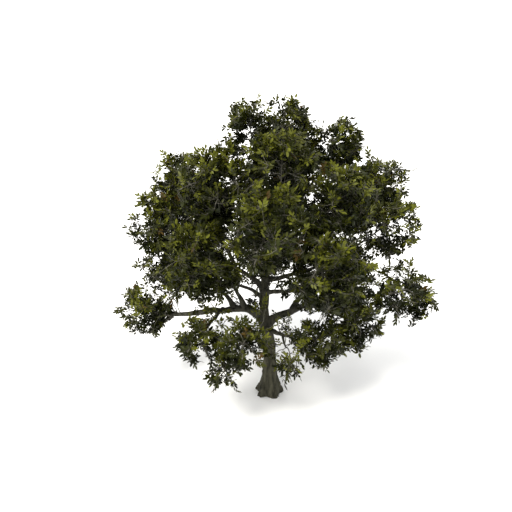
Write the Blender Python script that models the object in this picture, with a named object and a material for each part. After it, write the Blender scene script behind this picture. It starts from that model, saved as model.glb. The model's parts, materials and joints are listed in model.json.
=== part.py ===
"""An open-grown oak tree: a flared trunk, the boughs that it carries, and a mass of leafy twigs at the tip of each.

Lengths are in metres, +Z is up, and the origin is the middle of the trunk's foot, where it is cut flat at the ground.
-Y is the tree's front, -X its left.
"""

import math
import random
from collections import namedtuple

import bmesh
import bpy
from mathutils import Vector
from mathutils.bvhtree import BVHTree

# Trunk
TRUNK_TOP = 5.9  # height of the topmost fork
TRUNK_RADIUS = 0.205  # at the ground, if there were no root flare
TRUNK_TAPER = 0.024  # loss of radius for each metre of height
FLARE = 0.25  # how much further the roots swell out at the ground
FLARE_HEIGHT = 0.50  # height over which the flare dies away
FLARE_LOBES = 5  # ridges that run down into the main roots
LOBE_DEPTH = 0.14  # share of the radius
FORK_HEIGHT = 2.45  # where the big side boughs leave
FORK_SWELL = 0.05
FORK_SPREAD = 0.30
BOLE_HEIGHT = 1.45  # where the trunk is stoutest below the fork
BOLE_SWELL, BOLE_SPREAD = 0.045, 0.85
FLARE_CURVE, LOBE_CURVE = 1.3, 1.6  # how suddenly the flare and its ridges die away
LOBE_TURN = math.radians(8.0)
RING_CURVE = 1.25  # above 1, the trunk's rings lie closer together at the flare
LEAN = ((0.0, 0.0, 0.0), (1.6, 0.0, 0.0), (2.5, -0.10, 0.0), (3.3, -0.22, 0.02),
        (4.1, -0.20, 0.02), (5.0, 0.10, 0.0), (5.9, 0.24, 0.06))  # height, x, y of the trunk's middle
TRUNK_SIDES = 15
TRUNK_RINGS = 15

# Boughs
THICK_RINGS, THIN_RINGS = 7, 5
THICK_BOUGH = 0.09  # a bough as thick as this has more sides
THICK_SIDES, THIN_SIDES = 8, 6
BOUGH_TAPER = 0.42  # radius at a bough's tip as a share of that at its foot
HANDLE = 0.40  # how far a bough keeps its first and last headings, as a share of its span
ENTRY = 0.80  # a bough ends this far from the middle of its foliage, as a share of the foliage's reach
CURVE_STEPS = 200  # in which a bough's curve is searched for the place where it enters its foliage
GAP = 0.0003  # between pieces that touch
CUT_GAP = 1.3 * GAP  # left round a parent's flat-sided tube, so that it is nowhere less than the gap
BESIDE = 0.01  # limbs nearer to each other than this are cut back

# Foliage
STEM_SIDES = 5
STEM_RINGS = 3
STEM_END_RADIUS = 0.030
STEM_RISE, STEM_REACH = 0.6, 0.35  # how far a stem turns up and goes past the middle of its mass
STEM_HANDLE, STEM_BEND = 0.6, 0.2  # how far it keeps its first heading, and how soft its bend is
TWIGS = 5.2  # headings that a mass tries for each metre of reach
LEAST_TWIGS = 4
FIRST_TWIG = 0.25  # how far along the stem the first twig leaves
TWIG_REACH = 0.52  # where a twig ends, as a share of the way to the mass's outline
TWIG_LEAST_REACH = 0.35  # a heading with less room than this share of the reach bears no twig
TWIG_SIDES = 3
TWIG_RADIUS, TWIG_END_RADIUS = 0.022, 0.014
LEAF_PLACES = ((1.0, 12.0), (0.90, 62.0), (0.78, 62.0), (0.66, 66.0))  # along a twig, and degrees off its way
SPREAD_SPAN = 14.0  # how far those degrees vary
LEAF_TRIES = 12
SHORTEN_LEAST, SHORTEN_MOST = 0.92, 0.99  # share of the way to the outline that a leaf goes
LEAF_LENGTH = 0.85  # the longest, as each stands for a spray
LEAF_LEAST = 0.22
LEAF_WIDTH = 0.62  # share of its length
LEAF_THICKNESS = 0.03  # share of its length
LEAF_WIDEST = 0.52  # where along its length
LEAF_ROLL = 0.6  # how far a leaf's face turns from its twig's way
LEAF_SINK = 0.006  # depth of its root past the middle of its twig
SPACE_CLEARANCE = 0.012  # half of the gap between two masses
LIMB_CLEARANCE = 0.05  # between a leaf or twig and the limbs it passes
GOLDEN_ANGLE = math.pi * (3.0 - math.sqrt(5.0))

# Each bough: what it grows from, how far up that, its radius at the foot, the angles in degrees at which it
# sets off and arrives, and the middle and reach of the foliage at its tip.
Bough = namedtuple("Bough", "parent share radius launch arrive middle reach")
BOUGHS = {
    "left_tip": Bough("trunk", 0.415, 0.150, 70, 25, (-4.05, -0.20, 3.20), 0.97),
    "right_tip": Bough("trunk", 0.435, 0.120, 42, 14, (4.08, -0.80, 4.08), 1.08),
    "front_low": Bough("trunk", 0.390, 0.085, 30, 15, (-0.80, -2.90, 3.40), 0.75),
    "right_under": Bough("trunk", 0.400, 0.075, 8, 12, (1.44, -2.00, 3.01), 0.85),
    "back_low": Bough("trunk", 0.460, 0.090, 30, 20, (0.10, 3.80, 4.00), 1.20),
    "left_low": Bough("left_tip", 0.40, 0.070, 70, 20, (-3.38, 0.60, 4.36), 1.05),
    "front_left": Bough("left_tip", 0.30, 0.075, 68, 50, (-1.90, -2.20, 5.75), 1.30),
    "front_left_low": Bough("left_tip", 0.50, 0.055, 10, 0, (-2.08, -2.40, 3.32), 0.78),
    "hang_left": Bough("front_low", 0.55, 0.035, 5, -70, (-1.35, -2.80, 2.45), 0.62),
    "hang_right": Bough("right_under", 0.42, 0.030, -30, -60, (0.56, -2.60, 2.55), 0.45),
    "right_low": Bough("right_tip", 0.42, 0.065, 5, -5, (2.60, -1.40, 3.32), 0.92),
    "back_low_right": Bough("right_tip", 0.28, 0.070, 35, 15, (2.90, 2.90, 3.40), 1.15),
    "back_low_left": Bough("back_low", 0.25, 0.070, 30, 15, (-3.00, 2.90, 3.35), 1.12),
    "front_right": Bough("trunk", 0.63, 0.078, 20, 45, (1.55, -2.80, 5.60), 1.35),
    "left_shoulder": Bough("trunk", 0.66, 0.072, 40, 30, (-3.33, -0.20, 6.12), 1.12),
    "upper_left": Bough("left_shoulder", 0.40, 0.050, 65, 40, (-2.85, 0.60, 7.32), 0.95),
    "right_shoulder": Bough("trunk", 0.70, 0.072, 12, 40, (3.50, -0.50, 6.18), 1.05),
    "back_left": Bough("trunk", 0.74, 0.070, 30, 35, (-2.70, 2.70, 6.00), 1.40),
    "back_right": Bough("trunk", 0.76, 0.070, 35, 35, (2.90, 2.60, 6.20), 1.40),
    "mid_front": Bough("trunk", 0.78, 0.065, 45, 50, (-0.15, -3.20, 6.95), 1.25),
    "mid_right": Bough("trunk", 0.82, 0.062, 45, 50, (1.70, -1.80, 7.15), 1.30),
    "upper_right": Bough("mid_right", 0.30, 0.050, 30, 45, (3.40, 0.60, 7.20), 1.03),
    "mid_left": Bough("trunk", 0.86, 0.060, 55, 60, (-1.40, -1.60, 7.55), 1.30),
    "back": Bough("trunk", 0.85, 0.065, 30, 30, (0.10, 3.40, 6.30), 1.50),
    "top_left": Bough("trunk", 0.93, 0.055, 70, 80, (-0.62, 0.40, 8.85), 1.00),
    "top_right": Bough("trunk", 0.96, 0.055, 68, 70, (1.90, 0.40, 8.45), 0.98),
    "top_front": Bough("trunk", 0.98, 0.045, 60, 60, (0.25, -1.50, 8.00), 1.30),
    "top_back": Bough("trunk", 0.94, 0.050, 55, 60, (0.50, 2.20, 8.00), 1.25),
    "top": Bough("trunk", 1.00, 0.055, 86, 80, (0.35, 0.60, 8.90), 1.04),
}

BARK_COLOUR = (0.075, 0.068, 0.052, 1.0)
LEAF_COLOUR = (0.060, 0.085, 0.018, 1.0)


def material(name, colour, roughness):
    """A Principled material of one colour."""
    made = bpy.data.materials.new(name)
    made.use_nodes = True
    shader = made.node_tree.nodes["Principled BSDF"]
    shader.inputs["Base Color"].default_value = colour
    shader.inputs["Roughness"].default_value = roughness
    shader.inputs["Metallic"].default_value = 0.0
    return made


def heading(direction, degrees):
    """The unit vector with the compass bearing of direction, raised that many degrees above the level."""
    level = Vector((direction.x, direction.y, 0.0))
    if level.length < 1e-6:
        return Vector((0.0, 0.0, 1.0))
    level.normalize()
    rise = math.radians(degrees)
    return level * math.cos(rise) + Vector((0.0, 0.0, math.sin(rise)))


def bezier(a, b, c, d, t):
    s = 1.0 - t
    return a * s**3 + b * (3 * s * s * t) + c * (3 * s * t * t) + d * t**3


def trunk_middle(height):
    """The trunk's middle at a height, on a smooth curve through the points of LEAN."""
    knots = [Vector((x, y, z)) for z, x, y in LEAN]
    last = len(knots) - 2
    span = next((i for i in range(last) if height < LEAN[i + 1][0]), last)
    before = knots[max(span - 1, 0)]
    start, end = knots[span], knots[span + 1]
    after = knots[min(span + 2, last + 1)]
    t = (height - start.z) / (end.z - start.z)
    first = (end - before) / (end.z - before.z) * (end.z - start.z)
    final = (after - start) / (after.z - start.z) * (end.z - start.z)
    point = bezier(start, start + first / 3, end - final / 3, end, t)
    return Vector((point.x, point.y, height))


def trunk_radius(height):
    straight = TRUNK_RADIUS - TRUNK_TAPER * height
    flare = FLARE * math.exp(-((height / FLARE_HEIGHT) ** FLARE_CURVE))
    swell = FORK_SWELL * math.exp(-(((height - FORK_HEIGHT) / FORK_SPREAD) ** 2))
    bole = BOLE_SWELL * math.exp(-(((height - BOLE_HEIGHT) / BOLE_SPREAD) ** 2))
    return straight + flare + swell + bole


def trunk_line():
    """(point, radius) up the trunk, closer together at the flare."""
    heights = [TRUNK_TOP * (i / TRUNK_RINGS) ** RING_CURVE for i in range(TRUNK_RINGS + 1)]
    return [(trunk_middle(h), trunk_radius(h)) for h in heights]


def bough_line(name, lines):
    """(point, radius) along a bough, from its parent's middle to where it enters its foliage."""
    bough = BOUGHS[name]
    foot = along(lines[bough.parent], bough.share)[0]
    middle = Vector(bough.middle)
    span = (middle - foot).length
    first = foot + heading(middle - foot, bough.launch) * span * HANDLE
    last = middle - heading(middle - foot, bough.arrive) * span * HANDLE
    ways = [bezier(foot, first, last, middle, i / CURVE_STEPS) for i in range(CURVE_STEPS)]
    stop = next(i for i, point in enumerate(ways) if (point - middle).length < ENTRY * bough.reach) / CURVE_STEPS
    rings = THICK_RINGS if bough.radius > THICK_BOUGH else THIN_RINGS
    line = []
    for i in range(rings):
        share = i / (rings - 1)
        radius = bough.radius * (1.0 - (1.0 - BOUGH_TAPER) * share)
        line.append((bezier(foot, first, last, middle, share * stop), radius))
    return line


def along(line, share):
    """(point, radius, direction) at a share of the way along a line, by length."""
    lengths = [(b[0] - a[0]).length for a, b in zip(line, line[1:])]
    left = share * sum(lengths)
    for (a, b), length in zip(zip(line, line[1:]), lengths):
        if left <= length + 1e-9:
            t = left / length
            return a[0].lerp(b[0], t), a[1] + (b[1] - a[1]) * t, (b[0] - a[0]).normalized()
        left -= length
    return line[-1][0], line[-1][1], (line[-1][0] - line[-2][0]).normalized()


def all_lines():
    """The middle line and radii of the trunk and of each bough."""
    lines = {"trunk": trunk_line()}
    for name in BOUGHS:
        lines[name] = bough_line(name, lines)
    return lines


def stem_line(name, lines):
    """(point, radius) along the stem inside a mass: from 0.3 mm past its bough's tip, through the middle, and up."""
    bough = BOUGHS[name]
    tip, radius, direction = along(lines[name], 1.0)
    middle = Vector(bough.middle)
    start = tip + direction * GAP
    end = middle + (direction + Vector((0.0, 0.0, STEM_RISE))).normalized() * bough.reach * STEM_REACH
    first = start + direction * (middle - start).length * STEM_HANDLE
    line = []
    for i in range(STEM_RINGS):
        share = i / (STEM_RINGS - 1)
        point = bezier(start, first, middle.lerp(end, STEM_BEND), end, share)
        line.append((point, radius + (STEM_END_RADIUS - radius) * share))
    return line


def new_object(name, mesh, surface):
    made = bpy.data.objects.new(name, mesh)
    made.data.materials.append(surface)
    bpy.context.scene.collection.objects.link(made)
    return made


def tube_mesh(name, line, sides, grow=0.0, radial=None, first_way=None):
    """A closed tapering tube round a line, whose rings don't twist. first_way is what the first ring faces."""
    mesh = bpy.data.meshes.new(name)
    bm = bmesh.new()
    side = None
    rings = []
    for i, (point, radius) in enumerate(line):
        ahead = line[min(i + 1, len(line) - 1)][0]
        behind = line[max(i - 1, 0)][0]
        direction = Vector((0.0, 0.0, 1.0)) if radial else (ahead - behind).normalized()
        if i == 0 and first_way:
            direction = first_way
        if side is None:
            side = direction.orthogonal().normalized() if not radial else Vector((1.0, 0.0, 0.0))
        side = (side - direction * side.dot(direction)).normalized()
        across = direction.cross(side)
        ring = []
        for k in range(sides):
            angle = 2.0 * math.pi * k / sides
            reach = (radius * (radial(angle, point.z) if radial else 1.0)) + grow
            ring.append(bm.verts.new(point + (side * math.cos(angle) + across * math.sin(angle)) * reach))
        rings.append(ring)
    for lower, upper in zip(rings, rings[1:]):
        for k in range(sides):
            n = (k + 1) % sides
            bm.faces.new((lower[k], lower[n], upper[n], upper[k]))
    bm.faces.new(list(reversed(rings[0])))
    bm.faces.new(rings[-1])
    bmesh.ops.triangulate(bm, faces=bm.faces)
    bm.to_mesh(mesh)
    bm.free()
    return mesh


def root_lobes(angle, height):
    """How much further out the trunk's surface lies than its mean radius, from the ridges of the root flare."""
    strength = LOBE_DEPTH * math.exp(-((height / FLARE_HEIGHT) ** LOBE_CURVE))
    return 1.0 + strength * math.cos(FLARE_LOBES * (angle - LOBE_TURN))


def leaf_mesh(name, root, axis, face_up, length):
    """A pointed leaf folded a little along its midrib: two faces above and two below."""
    across = axis.cross(face_up).normalized()
    up = across.cross(axis).normalized()
    centre = root + axis * length * LEAF_WIDEST - up * length * LEAF_THICKNESS
    half_width = across * length * LEAF_WIDTH / 2
    mesh = bpy.data.meshes.new(name)
    bm = bmesh.new()
    root_corner, left, tip, right = [
        bm.verts.new(p) for p in (root, centre - half_width, root + axis * length, centre + half_width)]
    for face in ((root_corner, tip, left), (tip, root_corner, right),
                 (left, right, root_corner), (right, left, tip)):
        bm.faces.new(face)
    bmesh.ops.recalc_face_normals(bm, faces=bm.faces)
    bm.to_mesh(mesh)
    bm.free()
    return mesh


def leaf_points(root, axis, face_up, length):
    """Points over a leaf, close enough together to find what it would touch."""
    across = axis.cross(face_up).normalized()
    points = []
    for along_it, width in ((0.15, 0.3), (0.3, 0.6), (LEAF_WIDEST, 1.0), (0.75, 0.6), (0.9, 0.25), (1.0, 0.0)):
        for sideways in (-1.0, -0.5, 0.0, 0.5, 1.0):
            points.append(root + axis * length * along_it + across * sideways * width * length * LEAF_WIDTH / 2)
    return points


def in_space(name, point):
    """Whether a point is in a mass's own space: its ball, cut flat where the next mass's ball meets it."""
    own = BOUGHS[name]
    middle = Vector(own.middle)
    power = (point - middle).length_squared - own.reach**2
    if power > 0.0:
        return False
    for other, bough in BOUGHS.items():
        if other == name:
            continue
        apart = (Vector(bough.middle) - middle).length
        if apart > own.reach + bough.reach:
            continue
        margin = 2.0 * apart * SPACE_CLEARANCE
        if power + margin > (point - Vector(bough.middle)).length_squared - bough.reach**2:
            return False
    return True


def room(name, direction):
    """How far a mass's space goes from its middle in one direction."""
    own = BOUGHS[name]
    middle = Vector(own.middle)
    reach = own.reach
    for other, bough in BOUGHS.items():
        offset = Vector(bough.middle) - middle
        facing = offset.dot(direction)
        if other == name or facing <= 0.0 or offset.length > own.reach + bough.reach:
            continue
        plane = (offset.length_squared + own.reach**2 - bough.reach**2) / (2.0 * facing)
        reach = min(reach, plane - SPACE_CLEARANCE * offset.length / facing)
    return reach


def touches(points, capsules, clearance):
    """Whether any point is within the clearance of a limb, given as (start, end, radius)."""
    for a, b, radius in capsules:
        line = b - a
        square = line.length_squared
        limit = radius + clearance
        for point in points:
            t = min(1.0, max(0.0, (point - a).dot(line) / square))
            if (a + line * t - point).length_squared < limit * limit:
                return True
    return False


def capsules_of(line):
    return [(a[0], b[0], max(a[1], b[1])) for a, b in zip(line, line[1:])]


def near_limbs(name, lines, stems):
    """The pieces of limbs, and of other masses' stems, that pass through or by a mass's ball."""
    middle = Vector(BOUGHS[name].middle)
    reach = BOUGHS[name].reach
    found = []
    every = list(lines.values()) + [line for other, line in stems.items() if other != name]
    for line in every:
        for a, b, radius in capsules_of(line):
            t = min(1.0, max(0.0, (middle - a).dot(b - a) / (b - a).length_squared))
            if (a.lerp(b, t) - middle).length < reach + radius + LIMB_CLEARANCE:
                found.append((a, b, radius))
    return found


def tree_of(mesh):
    """The mesh as a tree that finds crossings quickly. The mesh is then removed."""
    corners = [vert.co.copy() for vert in mesh.vertices]
    faces = [tuple(face.vertices) for face in mesh.polygons]
    bpy.data.meshes.remove(mesh)
    return BVHTree.FromPolygons(corners, faces)


def headings(count, turn):
    """Directions spread evenly over a ball, by the golden angle."""
    for i in range(count):
        z = 1.0 - (2.0 * i + 1.0) / count
        angle = i * GOLDEN_ANGLE + turn
        ring = math.sqrt(1.0 - z * z)
        yield Vector((ring * math.cos(angle), ring * math.sin(angle), z))


def grow_twigs(name, lines, stems):
    """(twig line, leaves) for each twig of a mass. A leaf is (root, axis, face up, length)."""
    rng = random.Random(name)
    middle = Vector(BOUGHS[name].middle)
    stem = stems[name]
    stem_way = (stem[-1][0] - stem[0][0]).normalized()
    limbs = near_limbs(name, lines, stems)
    count = max(LEAST_TWIGS, round(TWIGS * BOUGHS[name].reach))
    ways = sorted(headings(count, rng.uniform(0.0, 2.0 * math.pi)), key=stem_way.dot)
    taken = [tree_of(tube_mesh("stem", stem, STEM_SIDES))]
    twigs = []
    for i, way in enumerate(ways):
        reach = room(name, way)
        foot = along(stem, FIRST_TWIG + (1.0 - FIRST_TWIG) * i / (len(ways) - 1))[0]
        tip = middle + way * reach * TWIG_REACH
        points = [foot.lerp(tip, t) for t in (0.25, 0.5, 0.75, 1.0)]
        if reach < TWIG_LEAST_REACH * BOUGHS[name].reach or touches(points, limbs, LIMB_CLEARANCE):
            continue
        line = [(foot, TWIG_RADIUS), (tip, TWIG_END_RADIUS)]
        leaves = []
        for share, spread in LEAF_PLACES:
            leaf = find_leaf(name, along(line, share)[0], way, spread, limbs, taken, rng)
            if leaf:
                leaves.append(leaf)
                taken.append(tree_of(leaf_mesh("leaf", *leaf)))
        if leaves:
            twigs.append((line, leaves))
            taken.append(tree_of(tube_mesh("twig", line, TWIG_SIDES)))
    return twigs


def find_leaf(name, spot, way, spread, limbs, taken, rng):
    """The first leaf, of some tries, that stays in the mass's space and crosses no limb, twig or leaf."""
    for _ in range(LEAF_TRIES):
        side = Vector((rng.uniform(-1, 1), rng.uniform(-1, 1), rng.uniform(-1, 1))).cross(way).normalized()
        tilt = math.radians(spread + rng.uniform(-SPREAD_SPAN, SPREAD_SPAN))
        axis = way * math.cos(tilt) + side * math.sin(tilt)
        roll = Vector((rng.uniform(-1, 1), rng.uniform(-1, 1), rng.uniform(-1, 1))) * LEAF_ROLL
        length = min(LEAF_LENGTH, way_out(name, spot, axis) * rng.uniform(SHORTEN_LEAST, SHORTEN_MOST))
        leaf = (spot - axis * LEAF_SINK, axis, way + roll, length)
        points = leaf_points(*leaf)
        if length < LEAF_LEAST or touches(points, limbs, LIMB_CLEARANCE):
            continue
        if not all(in_space(name, point) for point in points):
            continue
        shape = tree_of(leaf_mesh("leaf", *leaf))
        if not any(shape.overlap(other) for other in taken):
            return leaf
    return None


def way_out(name, spot, axis):
    """How far it is from a spot in a mass's ball to the ball's outline, along an axis."""
    offset = spot - Vector(BOUGHS[name].middle)
    inward = offset.dot(axis)
    return math.sqrt(inward**2 + BOUGHS[name].reach**2 - offset.length_squared) - inward


def applied(obj):
    """Gives the object the mesh that its modifiers make, and takes them off."""
    bpy.context.view_layer.update()
    graph = bpy.context.evaluated_depsgraph_get()
    mesh = bpy.data.meshes.new_from_object(obj.evaluated_get(graph))
    obj.modifiers.clear()
    obj.data = mesh


def keep_largest_body(obj):
    """Drops loose scraps, and fills sealed hollows by dropping their walls."""
    bm = bmesh.new()
    bm.from_mesh(obj.data)
    left = set(bm.verts)
    bodies = []
    while left:
        body = {left.pop()}
        edge = list(body)
        while edge:
            for link in edge.pop().link_edges:
                for vert in link.verts:
                    if vert in left:
                        left.remove(vert)
                        body.add(vert)
                        edge.append(vert)
        bodies.append(body)
    bodies.sort(key=len)
    for body in bodies[:-1]:
        bmesh.ops.delete(bm, geom=list(body), context="VERTS")
    bmesh.ops.triangulate(bm, faces=bm.faces)
    bm.to_mesh(obj.data)
    bm.free()


def place_at(obj, foot):
    """Moves the object's origin to its foot, with its shape left where it is."""
    for vert in obj.data.vertices:
        vert.co -= foot
    obj.location = foot


def make_bough(name, lines, bark):
    """One limb, cut 0.3 mm clear of its parent and of the limbs beside it that were there first."""
    bough = BOUGHS[name]
    sides = THICK_SIDES if bough.radius > THICK_BOUGH else THIN_SIDES
    made = new_object("bough_" + name, tube_mesh("bough_" + name, lines[name], sides), bark)
    cutters = []
    for other in lines:
        if other == name:
            break
        if other != bough.parent and not beside(lines[name], lines[other]):
            continue
        radial = root_lobes if other == "trunk" else None
        thick = other == "trunk" or BOUGHS[other].radius > THICK_BOUGH
        count = TRUNK_SIDES if other == "trunk" else THICK_SIDES if thick else THIN_SIDES
        cutter = new_object("cutter", tube_mesh("cutter", lines[other], count, CUT_GAP, radial), bark)
        cutter.hide_render = True
        cutter.display_type = "WIRE"
        cutters.append(cutter)
        modifier = made.modifiers.new("cut", "BOOLEAN")
        modifier.operation = "DIFFERENCE"
        modifier.solver = "EXACT"
        modifier.object = cutter
    applied(made)
    for cutter in cutters:
        bpy.data.objects.remove(cutter)
    keep_largest_body(made)
    place_at(made, lines[name][0][0])
    return made


def beside(line, other):
    """Whether two limbs come so close that one has to be cut back."""
    capsules = capsules_of(other)
    points = [a[0].lerp(b[0], t) for a, b in zip(line, line[1:]) for t in (0.0, 0.25, 0.5, 0.75)]
    return touches(points, capsules, line[0][1] + BESIDE)


def make_mass(name, lines, stems, foliage):
    """A mass of foliage: its stem, with the twigs and leaves fused on."""
    parts = bpy.data.collections.new("parts_" + name)
    bpy.context.scene.collection.children.link(parts)
    tip_way = along(lines[name], 1.0)[2]
    stem = tube_mesh("stem", stems[name], STEM_SIDES, first_way=tip_way)
    made = new_object("foliage_" + name, stem, foliage)
    for line, leaves in grow_twigs(name, lines, stems):
        meshes = [tube_mesh("twig", line, TWIG_SIDES)]
        meshes += [leaf_mesh("leaf", *leaf) for leaf in leaves]
        for mesh in meshes:
            parts.objects.link(bpy.data.objects.new(mesh.name, mesh))
    union = made.modifiers.new("fuse", "BOOLEAN")
    union.operation = "UNION"
    union.solver = "MANIFOLD"
    union.operand_type = "COLLECTION"
    union.collection = parts
    applied(made)
    for part in list(parts.objects):
        bpy.data.objects.remove(part)
    bpy.data.collections.remove(parts)
    keep_largest_body(made)
    place_at(made, stems[name][0][0])
    return made


def main():
    for obj in list(bpy.data.objects):
        bpy.data.objects.remove(obj)
    bark = material("bark", BARK_COLOUR, 0.9)
    foliage = material("foliage", LEAF_COLOUR, 0.55)
    oak = bpy.data.objects.new("oak", None)
    bpy.context.scene.collection.objects.link(oak)
    lines = all_lines()
    stems = {name: stem_line(name, lines) for name in BOUGHS}
    made = [new_object("trunk", tube_mesh("trunk", lines["trunk"], TRUNK_SIDES, 0.0, root_lobes), bark)]
    for name in BOUGHS:
        made.append(make_bough(name, lines, bark))
        made.append(make_mass(name, lines, stems, foliage))
    for obj in made:
        obj.parent = oak


main()
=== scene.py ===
"""The looks of an open-grown oak: bark with its relief, twigs and leaves, grown on from the part's own limbs.

Lengths are in metres, +Z is up, and the origin is the middle of the trunk's foot. -Y is the tree's front.
"""

import json
import math
from collections import namedtuple

import bpy
import numpy as np
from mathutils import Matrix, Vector

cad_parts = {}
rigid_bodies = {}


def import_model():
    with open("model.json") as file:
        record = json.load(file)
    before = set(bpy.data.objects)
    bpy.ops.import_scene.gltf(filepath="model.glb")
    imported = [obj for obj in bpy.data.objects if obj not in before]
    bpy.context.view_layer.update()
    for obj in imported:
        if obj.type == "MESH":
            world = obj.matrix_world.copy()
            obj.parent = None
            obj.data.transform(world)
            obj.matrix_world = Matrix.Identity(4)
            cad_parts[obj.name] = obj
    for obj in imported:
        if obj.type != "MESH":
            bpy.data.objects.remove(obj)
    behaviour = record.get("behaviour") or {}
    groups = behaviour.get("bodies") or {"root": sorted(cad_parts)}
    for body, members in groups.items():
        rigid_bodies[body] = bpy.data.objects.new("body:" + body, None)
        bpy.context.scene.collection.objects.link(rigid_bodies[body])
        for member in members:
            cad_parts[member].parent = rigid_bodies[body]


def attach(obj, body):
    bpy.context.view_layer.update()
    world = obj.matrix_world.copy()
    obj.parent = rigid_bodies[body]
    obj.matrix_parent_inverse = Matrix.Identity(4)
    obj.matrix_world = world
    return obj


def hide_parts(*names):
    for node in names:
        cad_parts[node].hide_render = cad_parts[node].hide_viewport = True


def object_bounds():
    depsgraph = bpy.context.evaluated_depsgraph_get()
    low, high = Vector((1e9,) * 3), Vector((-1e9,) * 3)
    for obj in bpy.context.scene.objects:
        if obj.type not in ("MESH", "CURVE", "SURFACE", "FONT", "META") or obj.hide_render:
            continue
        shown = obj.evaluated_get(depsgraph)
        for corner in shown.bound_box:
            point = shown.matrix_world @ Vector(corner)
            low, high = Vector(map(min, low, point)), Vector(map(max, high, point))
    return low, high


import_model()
CAD_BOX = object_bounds()

SEED = 20
UP = np.array([0.0, 0.0, 1.0])

# Trunk, as in the part
TRUNK_TOP = 5.9  # height of the topmost fork
TRUNK_RADIUS = 0.205  # at the ground, if there were no root flare
TRUNK_TAPER = 0.024  # loss of radius for each metre of height
FLARE = 0.25  # how much further the roots swell out at the ground
FLARE_HEIGHT = 0.50  # height over which the flare dies away
FLARE_LOBES = 5  # ridges that run down into the main roots
LOBE_DEPTH = 0.14  # share of the radius
LOBE_TURN = math.radians(8.0)
FLARE_CURVE, LOBE_CURVE = 1.3, 1.6  # how suddenly the flare and its ridges die away
FORK_HEIGHT, FORK_SWELL, FORK_SPREAD = 2.45, 0.05, 0.30  # where the big side boughs leave
BOLE_HEIGHT, BOLE_SWELL, BOLE_SPREAD = 1.45, 0.045, 0.85  # how much stouter the trunk is below the fork
LEAN = ((0.0, 0.0, 0.0), (1.6, 0.0, 0.0), (2.5, -0.10, 0.0), (3.3, -0.22, 0.02),
        (4.1, -0.20, 0.02), (5.0, 0.10, 0.0), (5.9, 0.24, 0.06))  # height, x, y of the trunk's middle

# Boughs, as in the part. Each has what it grows from, how far up that, its radius at the foot, the angles in
# degrees at which it sets off and arrives, and the middle and reach of the foliage at its tip.
Bough = namedtuple("Bough", "parent share radius launch arrive middle reach")
BOUGHS = {
    "left_tip": Bough("trunk", 0.415, 0.150, 70, 25, (-4.05, -0.20, 3.20), 0.97),
    "right_tip": Bough("trunk", 0.435, 0.120, 42, 14, (4.08, -0.80, 4.08), 1.08),
    "front_low": Bough("trunk", 0.390, 0.085, 30, 15, (-0.80, -2.90, 3.40), 0.75),
    "right_under": Bough("trunk", 0.400, 0.075, 8, 12, (1.44, -2.00, 3.01), 0.85),
    "back_low": Bough("trunk", 0.460, 0.090, 30, 20, (0.10, 3.80, 4.00), 1.20),
    "left_low": Bough("left_tip", 0.40, 0.070, 70, 20, (-3.38, 0.60, 4.36), 1.05),
    "front_left": Bough("left_tip", 0.30, 0.075, 68, 50, (-1.90, -2.20, 5.75), 1.30),
    "front_left_low": Bough("left_tip", 0.50, 0.055, 10, 0, (-2.08, -2.40, 3.32), 0.78),
    "hang_left": Bough("front_low", 0.55, 0.035, 5, -70, (-1.35, -2.80, 2.45), 0.62),
    "hang_right": Bough("right_under", 0.42, 0.030, -30, -60, (0.56, -2.60, 2.55), 0.45),
    "right_low": Bough("right_tip", 0.42, 0.065, 5, -5, (2.60, -1.40, 3.32), 0.92),
    "back_low_right": Bough("right_tip", 0.28, 0.070, 35, 15, (2.90, 2.90, 3.40), 1.15),
    "back_low_left": Bough("back_low", 0.25, 0.070, 30, 15, (-3.00, 2.90, 3.35), 1.12),
    "front_right": Bough("trunk", 0.63, 0.078, 20, 45, (1.55, -2.80, 5.60), 1.35),
    "left_shoulder": Bough("trunk", 0.66, 0.072, 40, 30, (-3.33, -0.20, 6.12), 1.12),
    "upper_left": Bough("left_shoulder", 0.40, 0.050, 65, 40, (-2.85, 0.60, 7.32), 0.95),
    "right_shoulder": Bough("trunk", 0.70, 0.072, 12, 40, (3.50, -0.50, 6.18), 1.05),
    "back_left": Bough("trunk", 0.74, 0.070, 30, 35, (-2.70, 2.70, 6.00), 1.40),
    "back_right": Bough("trunk", 0.76, 0.070, 35, 35, (2.90, 2.60, 6.20), 1.40),
    "mid_front": Bough("trunk", 0.78, 0.065, 45, 50, (-0.15, -3.20, 6.95), 1.25),
    "mid_right": Bough("trunk", 0.82, 0.062, 45, 50, (1.70, -1.80, 7.15), 1.30),
    "upper_right": Bough("mid_right", 0.30, 0.050, 30, 45, (3.40, 0.60, 7.20), 1.03),
    "mid_left": Bough("trunk", 0.86, 0.060, 55, 60, (-1.40, -1.60, 7.55), 1.30),
    "back": Bough("trunk", 0.85, 0.065, 30, 30, (0.10, 3.40, 6.30), 1.50),
    "top_left": Bough("trunk", 0.93, 0.055, 70, 80, (-0.62, 0.40, 8.85), 1.00),
    "top_right": Bough("trunk", 0.96, 0.055, 68, 70, (1.90, 0.40, 8.45), 0.98),
    "top_front": Bough("trunk", 0.98, 0.045, 60, 60, (0.25, -1.50, 8.00), 1.30),
    "top_back": Bough("trunk", 0.94, 0.050, 55, 60, (0.50, 2.20, 8.00), 1.25),
    "top": Bough("trunk", 1.00, 0.055, 86, 80, (0.35, 0.60, 8.90), 1.04),
}
BOUGH_TAPER = 0.42  # radius at a bough's tip as a share of that at its foot
HANDLE = 0.40  # how far a bough keeps its first and last headings, as a share of its span
ENTRY = 0.80  # a bough ends this far from the middle of its foliage, as a share of the foliage's reach
CURVE_STEPS = 200  # in which a bough's curve is searched for the place where it enters its foliage
BOUGH_STEP, LEAST_RINGS = 0.035, 8  # spacing of a bough's rings, and the fewest that it has
STEM_RINGS, STEM_SIDES = 12, 8
STEM_END_RADIUS = 0.016
STEM_RISE, STEM_REACH = 0.6, 0.35  # how far a stem turns up and goes past the middle of its mass
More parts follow.
